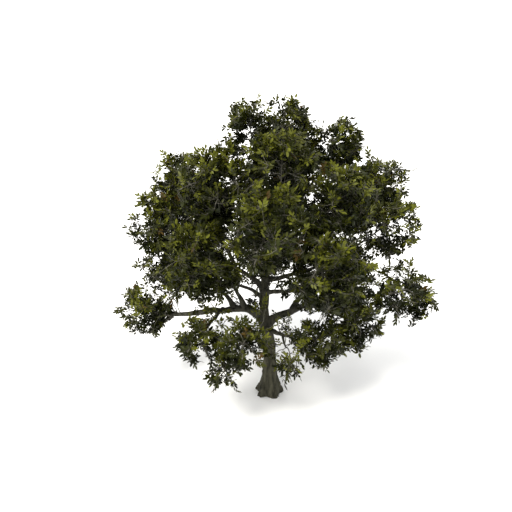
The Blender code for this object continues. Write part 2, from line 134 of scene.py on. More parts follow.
STEM_HANDLE, STEM_BEND = 0.6, 0.2  # how far it keeps its first heading, and how soft its bend is
GOLDEN_ANGLE = math.pi * (3.0 - math.sqrt(5.0))

# Bark relief
TRUNK_SIDES, TRUNK_RINGS = 120, 270
RING_CURVE = 1.15  # above 1, the trunk's rings lie closer together at the flare
BARK_DEPTH = 0.030  # of the trunk's furrows, where its radius is TRUNK_RADIUS
SHALLOWEST, DEEPEST = 0.25, 1.3  # shares of that depth
BARK_REST = 0.3  # the relief that leaves a limb's radius as it is
FURROW_WIDTH, LEAST_FURROWS = 0.055, 5  # and how many a limb has round it at least
FURROW_WARP, WARP_RATE = 1.6, 3.0  # how far furrows wander, in furrows, and how often in a metre
RIDGE_RATE, CRACK_RATE, FLAKE_RATE = 3.5, 9.0, 26.0  # of each, up a metre of limb
RIDGE_SHARE, CRACK_SHARE, FLAKE_SHARE = 1.15, 0.55, 0.30  # of the relief
RIDGE_CURVE = 0.8  # below 1, the ridges are sharp
BOUGH_SIDES = 13
BOUGH_FURROW = 0.09  # share of a bough's radius
KNOT_SWELL, KNOT_RATE = 0.22, 2.2  # share of the radius by which it varies, and how often in a metre
KNOT_PLACE = 0.3  # any place round the limb, since a knot goes all round it
COLLAR, COLLAR_LENGTH = 0.55, 0.30  # how much thicker a bough is where it leaves its parent
COLLAR_START = 0.7  # it keeps that up to this share of its parent's radius
STRAY = 0.5  # how far a bough strays from its curve, as a share of its radius
STRAY_WAVES = (1.5, 3.2, 6.1)  # in the whole length of a bough
STRAY_CURVE = 0.8  # below 1, it strays soon after its foot
FULL_TURN = 6.3  # each wave starts anywhere in its turn
SKEW, SHOOT_SKEW = (0.31, 0.77, 0.55), (0.37, 0.21, 0.90)  # directions that hardly any limb or shoot has

# Twigs that leave a mass's stem
TWIGS, LEAST_TWIGS = 16.0, 8  # for each metre of a mass's reach
FIRST_TWIG, TWIG_SPAN = 0.06, 0.94  # shares of the stem
TWIG_POINTS, TWIG_SIDES = 7, 5
TWIG_REACH, TWIG_LEAST_REACH = 1.04, 0.80  # of the way to the mass's outline
TWIG_RADIUS, TWIG_END_RADIUS = 0.019, 0.006
TWIG_SHARE = 0.8  # of the stem's radius, which a twig's is never above
TWIG_HANDLE, TWIG_BEND, TWIG_STRAY, TWIG_SHAKE = 0.3, 0.16, 0.07, 0.012  # shares of its length

# Twigs that leave the boughs, and the trunk above its fork
SIDE_TWIGS, SIDE_TWIGS_FROM = 4.2, 0.22  # for each metre, and the share of the bough where they begin
SIDE_TWIG_LENGTH = (0.5, 1.05)
TRUNK_TWIGS, TRUNK_TWIGS_FROM = 9.0, 0.46
TRUNK_TWIG_LENGTH = (0.6, 1.25)
SIDE_TWIGS_TO = 0.98  # share of the limb where they end
SIDE_FORWARD, SIDE_UPWARD = 0.6, 0.35  # how far they set off along the limb and up, where outward is 1
SIDE_LIFT, SIDE_SHAKE = 0.18, 0.018  # shares of their length
SIDE_FIRST_HANDLE, SIDE_LAST_HANDLE = 0.4, 0.25
SIDE_SHARE = 0.7  # of the limb's radius, which a twig's is never above

# Shoots, each from a twig to the end of a spray
SHOOT_RADIUS, SHOOT_END_RADIUS = 0.0065, 0.0030
SHOOT_POINTS, SHOOT_SIDES = 3, 3
SHOOT_LEAST = 0.10  # a spray is joined to a place on a twig at least this far off, if there is one
FAR = 10.0  # further than any such place
BEND_OUT, BEND_SHAKE = 0.6, 0.25  # how far a shoot sets off outward, where along the twig is 1
ARRIVE_OUT, ARRIVE_UP, ARRIVE_SHAKE = 0.5, 0.15, 0.3  # the same, and upward, where it arrives
FIRST_SHOOT_HANDLE, LAST_SHOOT_HANDLE = 0.4, 0.35  # shares of its length

# Where the sprays are
SPRAY_SPACING = 0.164  # between the sprays of a mass
SPRAY_SHAKE = 0.55  # share of the spacing
SPRAY_MISSING = 0.06  # share of the sprays left out wherever they are
CLUMP_SIZE = (0.42, 0.42, 0.27)  # of the clumps of sprays, and of the gaps among them where the sky shows
CLUMP_LEAST = 0.478  # how much of the clump noise, from 0 to 1, is gap
CLUMP_CELLS = 32  # after so many, the noise repeats
CLUMP_SHIFT, RAGGED_SHIFT = 40.0, 70.0  # added to a place before its noise is read, which keeps it above 0
RAGGED_SIZE = (0.60, 0.60, 0.40)  # of the dents in a mass's outline
RAGGED_DEPTH = 0.40  # share of its reach that the deepest take away
HEART = 0.30  # share of a mass's reach, from its middle, where the grid has no sprays
TIP_SPRAYS, SIDE_SPRAYS = 2, 4  # at the end of each twig in a mass, and of each other twig
TIP_STEP, TIP_SHAKE, TIP_PAST = 0.15, 0.05, 0.05  # between those, their shake, and how far past the twig
LIMB_CLEARANCE = 0.07  # between the surface of a limb and the end of a spray
NEAR_MASS = 0.6  # limbs further than this from a mass are out of its way
LIMB_PIECES = 14  # straight ones, in which a limb is measured
LEAST_HEIGHT = 0.8  # above the ground, under which no spray ends
PAST_BOX = 0.08  # how far a spray may end past the box of the plain solids

# Leaves
SPRAY_LEAVES = 7
SPRAY_LENGTH = 0.216  # from its rearmost leaf to its end
LAST_ANGLE, FIRST_ANGLE_MORE = 34.0, 26.0  # degrees from the shoot, and how much more the rearmost leaf has
LEAF_LENGTH, LEAF_LEAST, LEAF_MOST = 0.170, 0.72, 1.12  # and the least and most, as shares of it
BACK_SHORTER = 0.22  # share of its length that the rearmost leaf of a spray lacks
LEAF_WIDTH = 0.45  # share of its length
LEAF_FOLD = 0.07  # how deep its middle lies, as a share of its length
LEAF_DROOP = 0.10  # how far leaves point down
LEAF_TRIANGLES = 6
FLAT_SHAKE, TURN_SHAKE, FACE_SHAKE = 0.55, 0.20, 0.30  # how unevenly sprays and leaves are turned
LIFT, LIFT_SHAKE = 0.05, 0.22  # how far leaves stand up from their spray
# Corners of a leaf from its root round by its tip, and its middle last. Each has how far it lies forward,
# sideways and up, as shares of the leaf's length, of half its width and of its length.
LEAF_CORNERS = ((0.0, 0.0, 0.0), (0.30, 0.90, 0.0), (0.70, 0.84, -0.02), (1.0, 0.0, -0.07),
                (0.70, -0.84, -0.02), (0.30, -0.90, 0.0), (0.48, 0.0, -LEAF_FOLD))
PIECE_TRIANGLES = 180000  # the most in one piece of leaves

# Colours, as (red, green, blue), with the share of the sprays that has each, from inside to outside: beside a
# real spread of tone, the darker ones are painted shade inside the masses and the lit ones painted light
# outside and on top; rust is the leaves' own autumn tint
LEAF_COLOURS = {
    "dark": ((0.007, 0.009, 0.002), 0.36),
    "green": ((0.015, 0.018, 0.002), 0.30),
    "olive": ((0.029, 0.032, 0.003), 0.20),
    "rust": ((0.048, 0.030, 0.006), 0.008),
    "lit": ((0.078, 0.084, 0.008), 0.134),
}
LIT_BY_PLACE = 0.55  # how far a spray's colour follows its place: painted shade inside, painted light outside and on top
LIT_BY_HEIGHT, LIT_BY_CHANCE = 0.5, 1.5  # how much height in the mass, for painted light on top, and chance count, beside distance out
BARK_DARK, BARK_LIGHT = (0.010, 0.010, 0.006), (0.072, 0.069, 0.046)
LIMB_LIGHT = (0.060, 0.058, 0.043)
TWIG_DARK, TWIG_LIGHT = (0.035, 0.033, 0.025), (0.140, 0.133, 0.106)
BARK_STOPS = (0.32, 0.52, 0.72)  # of the streaks' noise, where the bark is dark, between and light
STREAK_SCALE, STREAK_DETAIL, STREAK_STRETCH = 9.0, 6.0, (1.0, 1.0, 0.22)  # drawn out upward
GRAIN_SCALE, GRAIN_DETAIL, GRAIN_STRETCH = 34.0, 5.0, (1.0, 1.0, 0.30)  # finer than the furrows
GRAIN_STRENGTH = 0.7
TRUNK_GRAIN, LIMB_GRAIN, TWIG_GRAIN = 0.006, 0.003, 0.001  # depths
BARK_ROUGHNESS, BARK_SHINE = 0.92, 0.2
MOTTLE_SCALE, MOTTLE_DETAIL = 7.0, 2.0
MOTTLE_STOPS = (0.35, 0.65)  # of the mottle's noise, where a leaf is darkest and lightest
MOTTLE_DARK, MOTTLE_LIGHT = 0.72, 1.28  # times its colour
LEAF_ROUGHNESS, LEAF_SHINE = 0.42, 0.12
FLOOR_COLOUR, FLOOR_ROUGHNESS = (0.92, 0.92, 0.91), 0.9
FLOOR_HALF = 150.0  # half its width

# Light and camera
WORLD_COLOUR, WORLD_STRENGTH = (1.0, 1.0, 1.0, 1.0), 1.35
KEY_STRENGTH, KEY_ANGLE, KEY_COLOUR = 4.2, math.radians(20.0), (1.0, 0.97, 0.90)
KEY_TURN = (math.radians(38.0), 0.0, math.radians(-28.0))  # from above, in front and the left
AIM = Vector((-0.46, 0.0, 5.0))  # the middle of the picture
CAMERA_DISTANCE = 18.2
CAMERA_RISE = math.radians(20.0)
LENS, SENSOR_WIDTH = 40.2, 36.0
CLIP_END = 400.0


def unit(vectors):
    """The same vectors at length 1."""
    return vectors / np.maximum(np.linalg.norm(vectors, axis=-1, keepdims=True), 1e-9)


def heading(direction, degrees):
    """The unit vector with the compass bearing of direction, raised that many degrees above the level."""
    level = np.array([direction[0], direction[1], 0.0])
    if np.linalg.norm(level) < 1e-6:
        return UP
    rise = math.radians(degrees)
    return unit(level) * math.cos(rise) + UP * math.sin(rise)


def bezier(a, b, c, d, t):
    """Points at shares t of a curve from a to d, with handles b and c."""
    t = np.asarray(t)[..., None]
    s = 1.0 - t
    return a * s**3 + b * (3 * s * s * t) + c * (3 * s * t * t) + d * t**3


def trunk_middle(height):
    """The trunk's middle at a height, on a smooth curve through the points of LEAN."""
    knots = [np.array([x, y, z]) for z, x, y in LEAN]
    last = len(knots) - 2
    span = next((i for i in range(last) if height < LEAN[i + 1][0]), last)
    before, start, end = knots[max(span - 1, 0)], knots[span], knots[span + 1]
    after = knots[min(span + 2, last + 1)]
    rise = end[2] - start[2]
    first = (end - before) / (end[2] - before[2]) * rise
    final = (after - start) / (after[2] - start[2]) * rise
    point = bezier(start, start + first / 3, end - final / 3, end, (height - start[2]) / rise)
    return np.array([point[0], point[1], height])


def trunk_radius(height):
    """The trunk's radius at a height, without its lobes and bark."""
    straight = TRUNK_RADIUS - TRUNK_TAPER * height
    flare = FLARE * np.exp(-((height / FLARE_HEIGHT) ** FLARE_CURVE))
    swell = FORK_SWELL * np.exp(-(((height - FORK_HEIGHT) / FORK_SPREAD) ** 2))
    bole = BOLE_SWELL * np.exp(-(((height - BOLE_HEIGHT) / BOLE_SPREAD) ** 2))
    return straight + flare + swell + bole


def trunk_line():
    """Points and radii up the trunk."""
    heights = TRUNK_TOP * (np.arange(TRUNK_RINGS + 1) / TRUNK_RINGS) ** RING_CURVE
    return np.array([trunk_middle(h) for h in heights]), trunk_radius(heights)


def along(line, share):
    """(point, radius, direction) at a share of the way along a line, by length."""
    points, radii = line
    lengths = np.linalg.norm(np.diff(points, axis=0), axis=1)
    ends = np.concatenate([[0.0], np.cumsum(lengths)])
    wanted = share * ends[-1]
    i = min(int(np.searchsorted(ends, wanted, side="right")) - 1, len(lengths) - 1)
    t = (wanted - ends[i]) / lengths[i]
    point = points[i] + (points[i + 1] - points[i]) * t
    return point, radii[i] + (radii[i + 1] - radii[i]) * t, unit(points[i + 1] - points[i])


def bough_line(name, lines):
    """Points and radii along a bough, from its parent's middle to where it enters its foliage."""
    bough = BOUGHS[name]
    foot = along(lines[bough.parent], bough.share)[0]
    middle = np.array(bough.middle)
    span = np.linalg.norm(middle - foot)
    first = foot + heading(middle - foot, bough.launch) * span * HANDLE
    last = middle - heading(middle - foot, bough.arrive) * span * HANDLE
    ways = bezier(foot, first, last, middle, np.arange(CURVE_STEPS) / CURVE_STEPS)
    entered = np.linalg.norm(ways - middle, axis=1) < ENTRY * bough.reach
    stop = int(np.argmax(entered)) / CURVE_STEPS
    shares = np.linspace(0.0, 1.0, max(LEAST_RINGS, int(span * stop / BOUGH_STEP)))
    radii = bough.radius * (1.0 - (1.0 - BOUGH_TAPER) * shares)
    return bezier(foot, first, last, middle, shares * stop), radii


def stem_line(name, lines):
    """Points and radii along the stem inside a mass: from its bough's tip, through the middle, and up."""
    bough = BOUGHS[name]
    tip, radius, direction = along(lines[name], 1.0)
    middle = np.array(bough.middle)
    end = middle + unit(direction + UP * STEM_RISE) * bough.reach * STEM_REACH
    first = tip + direction * np.linalg.norm(middle - tip) * STEM_HANDLE
    shares = np.linspace(0.0, 1.0, STEM_RINGS)
    points = bezier(tip, first, middle + (end - middle) * STEM_BEND, end, shares)
    return points, radius + (STEM_END_RADIUS - radius) * shares


def value_noise(rng, u, v, across, up):
    """Smooth noise from 0 to 1 that repeats across u, with about so many cells across and up."""
    rows = int(np.ceil(v.max() * up)) + 3
    table = rng.random((rows, across))
    x, y = (u % 1.0) * across, v * up
    i, j = np.floor(x).astype(int), np.floor(y).astype(int)
    fx, fy = x - i, y - j
    fx, fy = fx * fx * (3 - 2 * fx), fy * fy * (3 - 2 * fy)
    i0, i1 = i % across, (i + 1) % across
    low = table[j, i0] * (1 - fx) + table[j, i1] * fx
    high = table[j + 1, i0] * (1 - fx) + table[j + 1, i1] * fx
    return low * (1 - fy) + high * fy


def furrows(rng, u, v, around):
    """Bark relief from -1, a furrow, to 1, a ridge. u goes round the limb and v up it, in metres."""
    cells = max(LEAST_FURROWS, round(around / FURROW_WIDTH))
    warp = (value_noise(rng, u, v, max(3, cells // 3), WARP_RATE) - 0.5) * FURROW_WARP / cells
    broad = value_noise(rng, u + warp, v, cells, RIDGE_RATE)
    cracks = value_noise(rng, u + warp, v, cells * 2, CRACK_RATE)
    flakes = value_noise(rng, u, v, cells * 4, FLAKE_RATE)
    ridges = 1.0 - np.abs(2.0 * broad - 1.0) ** RIDGE_CURVE
    return (RIDGE_SHARE * ridges + CRACK_SHARE * cracks + FLAKE_SHARE * flakes) - 1.0


def frames_along(points):
    """Two unit vectors square to each piece of a line, that don't twist along it."""
    ways = unit(np.gradient(points, axis=0))
    side = unit(np.cross(ways[0], SKEW))
    sides = []
    for way in ways:
        side = unit(side - way * np.dot(side, way))
        sides.append(side)
    sides = np.array(sides)
    return sides, np.cross(ways, sides)


def circle(first, second, sides):
    """Directions round a line, from two unit vectors square to each piece of it."""
    angles = np.arange(sides) * (2.0 * math.pi / sides)
    cosines, sines = np.cos(angles)[None, :, None], np.sin(angles)[None, :, None]
    return first[:, None] * cosines + second[:, None] * sines


def ring_faces(rings, sides):
    """The square faces that join so many rings of corners."""
    k = np.arange(sides)
    n = (k + 1) % sides
    rows = (np.arange(rings - 1) * sides)[:, None]
    return np.stack([rows + k, rows + n, rows + sides + n, rows + sides + k], axis=-1).reshape(-1, 4)


def tube(points, radii, sides, frames=None):
    """Corners and faces of an open tube, with a radius for each ring or for each corner of each ring."""
    first, second = frames or frames_along(points)
    radii = np.asarray(radii)
    if radii.ndim == 1:
        radii = np.repeat(radii[:, None], sides, axis=1)
    corners = points[:, None] + circle(first, second, sides) * radii[:, :, None]
    return corners.reshape(-1, 3), ring_faces(len(points), sides)


def new_mesh_object(name, corners, faces, surface):
    """An object from an array of corners and one of faces with the same number of sides."""
    mesh = bpy.data.meshes.new(name)
    sides = faces.shape[1]
    mesh.vertices.add(len(corners))
    mesh.vertices.foreach_set("co", corners.astype(np.float32).ravel())
    mesh.loops.add(faces.size)
    mesh.loops.foreach_set("vertex_index", faces.astype(np.int32).ravel())
    mesh.polygons.add(len(faces))
    mesh.polygons.foreach_set("loop_start", (np.arange(len(faces)) * sides).astype(np.int32))
    mesh.update(calc_edges=True)
    mesh.validate()
    mesh.shade_smooth()
    mesh.materials.append(surface)
    obj = bpy.data.objects.new(name, mesh)
    bpy.context.scene.collection.objects.link(obj)
    return obj


def joined(parts):
    """Many (corners, faces) as one."""
    corners, faces, start = [], [], 0
    for some_corners, some_faces in parts:
        corners.append(some_corners)
        faces.append(some_faces + start)
        start += len(some_corners)
    return np.concatenate(corners), np.concatenate(faces)


def trunk_shape(rng, line):
    """The trunk with its root lobes and its furrowed bark, open at the ground and at its top."""
    points, radii = line
    u, heights = np.meshgrid(np.arange(TRUNK_SIDES) / TRUNK_SIDES, points[:, 2])
    fading = np.exp(-((heights / FLARE_HEIGHT) ** LOBE_CURVE))
    lobes = 1.0 + LOBE_DEPTH * fading * np.cos(FLARE_LOBES * (2.0 * math.pi * u - LOBE_TURN))
    relief = furrows(rng, u, heights, 2.0 * math.pi * TRUNK_RADIUS)
    depth = BARK_DEPTH * np.clip(radii[:, None] / TRUNK_RADIUS, SHALLOWEST, DEEPEST)
    frames = np.tile([1.0, 0.0, 0.0], (len(points), 1)), np.tile([0.0, 1.0, 0.0], (len(points), 1))
    return tube(points, radii[:, None] * lobes + depth * (relief - BARK_REST), TRUNK_SIDES, frames)


def strayed(rng, points, radii, shares):
    """A bough's points, moved a little off its curve by three waves, but not at its ends."""
    first, second = frames_along(points)
    stray = np.zeros(len(points))
    other = np.zeros(len(points))
    for waves in STRAY_WAVES:
        stray += np.sin(waves * 2 * math.pi * shares + rng.uniform(0, FULL_TURN)) / waves
        other += np.sin(waves * 2 * math.pi * shares + rng.uniform(0, FULL_TURN)) / waves
    window = (np.maximum(np.sin(math.pi * shares), 0.0) ** STRAY_CURVE * STRAY * radii)[:, None]
    return points + window * (first * stray[:, None] + second * other[:, None])


def bough_shape(rng, line, parent_radius):
    """A bough that swells where it leaves its parent, strays from its curve a little and has furrows."""
    points, radii = line
    lengths = np.concatenate([[0.0], np.cumsum(np.linalg.norm(np.diff(points, axis=0), axis=1))])
    points = strayed(rng, points, radii, lengths / lengths[-1])
    past_parent = np.maximum(lengths - parent_radius * COLLAR_START, 0.0)
    radii = radii * (1.0 + COLLAR * np.exp(-past_parent / COLLAR_LENGTH))
    u, v = np.meshgrid(np.arange(BOUGH_SIDES) / BOUGH_SIDES, lengths)
    relief = furrows(rng, u, v, 2.0 * math.pi * radii.mean())
    knots = value_noise(rng, np.full_like(u, KNOT_PLACE), v, 3, KNOT_RATE) - 0.5
    swell = radii[:, None] * (1.0 + KNOT_SWELL * knots) + BOUGH_FURROW * radii[:, None] * (relief - BARK_REST)
    return tube(points, swell, BOUGH_SIDES)


def space_around(name):
    """The middle and reach of a mass, and the middles and reaches of those that it meets."""
    own = BOUGHS[name]
    middle = np.array(own.middle)
    others = [b for n, b in BOUGHS.items() if n != name and
              np.linalg.norm(np.array(b.middle) - middle) < own.reach + b.reach]
    middles = np.array([b.middle for b in others]).reshape(-1, 3)
    reaches = np.array([b.reach for b in others])
    return middle, own.reach, middles, reaches


def in_space(points, space):
    """Which points are in a mass's own space: its ball, cut flat where the next mass's ball meets it."""
    middle, reach, middles, reaches = space
    squares = ((points - middle) ** 2).sum(1)
    inside = squares < reach**2
    if len(middles):
        others = ((points[:, None] - middles[None]) ** 2).sum(2) - reaches[None] ** 2
        inside &= ((squares - reach**2)[:, None] < others).all(1)
    return inside


def room(way, space):
    """How far a mass's space goes from its middle in one direction."""
    middle, own_reach, middles, reaches = space
    reach = own_reach
    for other, other_reach in zip(middles, reaches):
        offset = other - middle
        facing = offset @ way
        if facing > 0.0:
            reach = min(reach, (offset @ offset + own_reach**2 - other_reach**2) / (2.0 * facing))
    return reach


def headings(count, turn):
    """Directions spread evenly over a ball, by the golden angle."""
    i = np.arange(count)
    z = 1.0 - (2.0 * i + 1.0) / count
    ring = np.sqrt(1.0 - z * z)
    angle = i * GOLDEN_ANGLE + turn
    return np.stack([ring * np.cos(angle), ring * np.sin(angle), z], axis=1)


def grow_twigs(name, stem, space, rng):
    """Points and radii of each twig that leaves a mass's stem for its outline."""
    middle = space[0]
    stem_way = unit(stem[0][-1] - stem[0][0])
    ways = headings(max(LEAST_TWIGS, round(TWIGS * BOUGHS[name].reach)), rng.uniform(0.0, 2.0 * math.pi))
    ways = ways[np.argsort(ways @ stem_way)]
    shares = np.linspace(0.0, 1.0, TWIG_POINTS)
    twigs = []
    for i, way in enumerate(ways):
        foot, radius, _ = along(stem, FIRST_TWIG + TWIG_SPAN * i / (len(ways) - 1))
        tip = middle + way * room(way, space) * rng.uniform(TWIG_LEAST_REACH, TWIG_REACH)
        length = np.linalg.norm(tip - foot)
        lift = UP * (TWIG_BEND * length)
        stray = rng.normal(0.0, TWIG_STRAY, 3) * length
        first = foot + (tip - foot) * TWIG_HANDLE + lift + stray
        last = tip - (tip - foot) * TWIG_HANDLE + lift - stray
        points = bezier(foot, first, last, tip, shares)
        points[1:-1] += rng.normal(0.0, TWIG_SHAKE, (TWIG_POINTS - 2, 3)) * length
        start = min(TWIG_RADIUS, radius * TWIG_SHARE)
        twigs.append((points, start + (TWIG_END_RADIUS - start) * shares))
    return twigs


def grow_side_twigs(line, rng, first, density, lengths):
    """Twigs that leave a limb from a share of its way to its end, and turn up."""
    length = np.linalg.norm(np.diff(line[0], axis=0), axis=1).sum()
    count = round(density * length * (1.0 - first))
    shares = np.linspace(0.0, 1.0, TWIG_POINTS)
    twigs = []
    for share in np.sort(rng.uniform(first, SIDE_TWIGS_TO, count)):
        foot, radius, direction = along(line, share)
        out = rng.normal(0.0, 1.0, 3)
        out = unit(out - direction * (out @ direction))
        way = unit(direction * SIDE_FORWARD + out + UP * SIDE_UPWARD)
        reach = rng.uniform(*lengths)
        tip = foot + way * reach + UP * SIDE_LIFT * reach
        handles = foot + way * reach * SIDE_FIRST_HANDLE, tip - way * reach * SIDE_LAST_HANDLE
        twig = bezier(foot, *handles, tip, shares)
        twig[1:-1] += rng.normal(0.0, SIDE_SHAKE, (TWIG_POINTS - 2, 3)) * reach
        start = min(TWIG_RADIUS, radius * SIDE_SHARE)
        twigs.append((twig, start + (TWIG_END_RADIUS - start) * shares))
    return twigs


def clump_noise(points, size, seed):
    """Smooth noise from 0 to 1 at some points, with about one clump to each box of the given size."""
    table = np.random.default_rng(seed).random((CLUMP_CELLS, CLUMP_CELLS, CLUMP_CELLS))
    scaled = points / np.array(size)
    cell = np.floor(scaled).astype(int)
    f = scaled - cell
    f = f * f * (3 - 2 * f)
    total = np.zeros(len(points))
    for i in (0, 1):
        for j in (0, 1):
            for k in (0, 1):
                share = (f[:, 0] if i else 1 - f[:, 0]) * (f[:, 1] if j else 1 - f[:, 1])
                share = share * (f[:, 2] if k else 1 - f[:, 2])
                x, y, z = (cell + (i, j, k)).T % CLUMP_CELLS
                total += share * table[x, y, z]
    return total


def tip_places(twigs, count, rng):
    """Where the sprays at the twigs' ends are, so many for each."""
    tips = []
    for points, _ in twigs:
        way = unit(points[-1] - points[-2])
        for k in range(count):
            shake = rng.normal(0.0, TIP_SHAKE, 3)
            tips.append(points[-1] - way * k * TIP_STEP + shake + way * TIP_PAST)
    return np.array(tips)


def spray_places(space, rng):
    """Where the sprays of a mass end: a shaken grid in its space, without its heart, with some left out."""
    middle, reach = space[0], space[1]
    count = int(math.ceil(reach / SPRAY_SPACING))
    steps = np.arange(-count, count + 1) * SPRAY_SPACING
    grid = np.stack(np.meshgrid(steps, steps, steps), axis=-1).reshape(-1, 3)
    grid = grid + rng.uniform(-SPRAY_SHAKE, SPRAY_SHAKE, grid.shape) * SPRAY_SPACING + middle
    out = np.linalg.norm(grid - middle, axis=1)
    ragged = RAGGED_DEPTH * clump_noise(grid + RAGGED_SHIFT, RAGGED_SIZE, SEED + 1) ** 2 * reach
    keep = in_space(grid, space) & (out < reach - ragged)
    keep &= out > HEART * reach
    keep &= rng.random(len(grid)) > SPRAY_MISSING
    keep &= clump_noise(grid + CLUMP_SHIFT, CLUMP_SIZE, SEED) > CLUMP_LEAST
    return grid[keep]


def limb_pieces(lines):
    """All limbs as short straight pieces: starts, ends and radii."""
    starts, ends, radii = [], [], []
    for points, radius in lines.values():
        step = max(1, len(points) // LIMB_PIECES)
        picked = list(range(0, len(points), step))
        if picked[-1] != len(points) - 1:
            picked.append(len(points) - 1)
        for a, b in zip(picked, picked[1:]):
            starts.append(points[a])
            ends.append(points[b])
            radii.append(max(radius[a], radius[b]))
    return np.array(starts), np.array(ends), np.array(radii)


def near(limbs, space):
    """The limbs that come near a mass."""
    starts, ends, radii = limbs
    close = np.linalg.norm((starts + ends) / 2 - space[0], axis=1) < space[1] + NEAR_MASS
    return starts[close], ends[close], radii[close]


def clear_of(points, limbs):
    """Which points are clear of the limbs, given as (starts, ends, radii)."""
    starts, ends, radii = limbs
    clear = np.ones(len(points), bool)
    for a, b, radius in zip(starts, ends, radii):
        line = b - a
        t = np.clip(((points - a) @ line) / (line @ line), 0.0, 1.0)
        clear &= np.linalg.norm(a + t[:, None] * line - points, axis=1) > radius + LIMB_CLEARANCE
    return clear


def in_box(points):
    """Which points are near enough to the plain solids' box, and above the ground."""
    low, high = np.array(CAD_BOX[0]) - PAST_BOX, np.array(CAD_BOX[1]) + PAST_BOX
    low[2] = LEAST_HEIGHT
    return ((points > low) & (points < high)).all(1)


def grow_shoots(tips, twigs, space, rng):
    """Curved shoots to the sprays from the nearest places on twigs, and the ways in which they arrive."""
    spots = np.concatenate([points[1:] for points, _ in twigs])
    ways = np.concatenate([unit(np.gradient(points, axis=0))[1:] for points, _ in twigs])
    gaps = np.linalg.norm(tips[:, None] - spots[None], axis=2)
    nearest = np.argmin(gaps + FAR * (gaps < SHOOT_LEAST), axis=1)
    foot, way = spots[nearest], ways[nearest]
    length = np.linalg.norm(tips - foot, axis=1, keepdims=True)
    outward = unit(tips - space[0])
    bend = unit(way + outward * BEND_OUT + rng.normal(0.0, BEND_SHAKE, tips.shape))
    arrive = unit(tips - foot) + outward * ARRIVE_OUT + UP * ARRIVE_UP
    arrive = unit(arrive + rng.normal(0.0, ARRIVE_SHAKE, tips.shape))
    first = (foot + bend * length * FIRST_SHOOT_HANDLE)[:, None]
    last = (tips - arrive * length * LAST_SHOOT_HANDLE)[:, None]
    shares = np.linspace(0.0, 1.0, SHOOT_POINTS)
    return bezier(foot[:, None], first, last, tips[:, None], shares[None]), arrive


def shoot_tubes(shoots):
    """Slim tubes round all the shoots of a mass."""
    way = unit(shoots[:, -1] - shoots[:, 0])
    side = unit(np.cross(way, SHOOT_SKEW))
    radii = np.linspace(SHOOT_RADIUS, SHOOT_END_RADIUS, SHOOT_POINTS)[None, :, None, None]
    corners = shoots[:, :, None] + circle(side, np.cross(way, side), SHOOT_SIDES)[:, None] * radii
    first_corners = (np.arange(len(shoots)) * SHOOT_POINTS * SHOOT_SIDES)[:, None, None]
    faces = ring_faces(SHOOT_POINTS, SHOOT_SIDES)[None] + first_corners
    return corners.reshape(-1, 3), faces.reshape(-1, 4)


def painted_light_by_place(tips, space):
    """How much painted light the sprays of a mass get by their place: more outside and on top, painted shade
    inside.
    """
    away = (tips - space[0]) / space[1]
    # painted light outside and on top, painted shade towards the middle of the mass
    outside = np.clip(np.linalg.norm(away, axis=1), 0.0, 1.0)
    return outside + LIT_BY_HEIGHT * np.clip(away[:, 2], -1.0, 1.0)


def grow_mass(name, lines, stem, limbs, rng):
    """A mass's twigs as shapes, its shoots as one shape, and its sprays' ends, ways and painted light by
    place.
    """
    space = space_around(name)
    twigs = grow_twigs(name, stem, space, rng)
    side_twigs = grow_side_twigs(lines[name], rng, SIDE_TWIGS_FROM, SIDE_TWIGS, SIDE_TWIG_LENGTH)
    if name == "top":
        side_twigs += grow_side_twigs(lines["trunk"], rng, TRUNK_TWIGS_FROM, TRUNK_TWIGS, TRUNK_TWIG_LENGTH)
    within = spray_places(space, rng)
    at_ends = tip_places(twigs, TIP_SPRAYS, rng)
    tips = np.concatenate([within, at_ends, tip_places(side_twigs, SIDE_SPRAYS, rng)])
    tips = tips[clear_of(tips, near(limbs, space))]
    tips = tips[in_box(tips)]
    shoots, arrive = grow_shoots(tips, twigs + side_twigs + [stem], space, rng)
    shapes = [tube(*stem, STEM_SIDES)]
    shapes += [tube(points, radii, TWIG_SIDES) for points, radii in twigs + side_twigs]
    return shapes, shoot_tubes(shoots), tips, arrive, painted_light_by_place(tips, space)


def leaf_roots(tips, arrive, rng):
    """Roots, axes, faces and lengths of the leaves of all sprays: alternate ones, and one at the end."""
    flat = unit(UP + rng.normal(0.0, FLAT_SHAKE, arrive.shape))
    side = unit(np.cross(arrive, flat))
    face = np.cross(side, arrive)
    roots, axes, faces, lengths = [], [], [], []
    for k in range(SPRAY_LEAVES):
        back = (SPRAY_LEAVES - 1 - k) / (SPRAY_LEAVES - 1)
        hand = 1.0 if k % 2 else -1.0
        turn = math.radians(LAST_ANGLE + FIRST_ANGLE_MORE * back) if back > 0.0 else 0.0
        turns = turn + rng.normal(0.0, TURN_SHAKE, len(tips))
        axis = arrive * np.cos(turns)[:, None] + side * (hand * np.sin(turns))[:, None]
        lift = rng.normal(LIFT, LIFT_SHAKE, len(tips))
        axes.append(unit(axis + face * lift[:, None] - UP * LEAF_DROOP))
        roots.append(tips - arrive * (SPRAY_LENGTH * back))
        faces.append(unit(face + rng.normal(0.0, FACE_SHAKE, face.shape)))
        size = LEAF_LENGTH * rng.uniform(LEAF_LEAST, LEAF_MOST, len(tips))
        lengths.append(size * (1.0 - BACK_SHORTER * back))
    stack = [np.stack(a, axis=1).reshape(-1, 3) for a in (roots, axes, faces)]
    return stack[0], stack[1], stack[2], np.stack(lengths, axis=1).reshape(-1)


def leaf_shapes(roots, axes, faces, lengths):
    """Six triangles for each leaf: a pointed oval, hollow in the middle and bent down at its tip."""
    across = unit(np.cross(axes, faces))
    up = np.cross(across, axes)
    size = lengths[:, None]
    corners = np.stack([
        roots + size * (axes * forward + across * sideways * LEAF_WIDTH / 2 + up * height)
        for forward, sideways, height in LEAF_CORNERS
    ], axis=1)
    middle = LEAF_TRIANGLES
    one = np.array([(middle, k, (k + 1) % LEAF_TRIANGLES) for k in range(LEAF_TRIANGLES)])
    triangles = one[None] + (np.arange(len(roots)) * (LEAF_TRIANGLES + 1))[:, None, None]
    return corners.reshape(-1, 3), triangles.reshape(-1, 3)


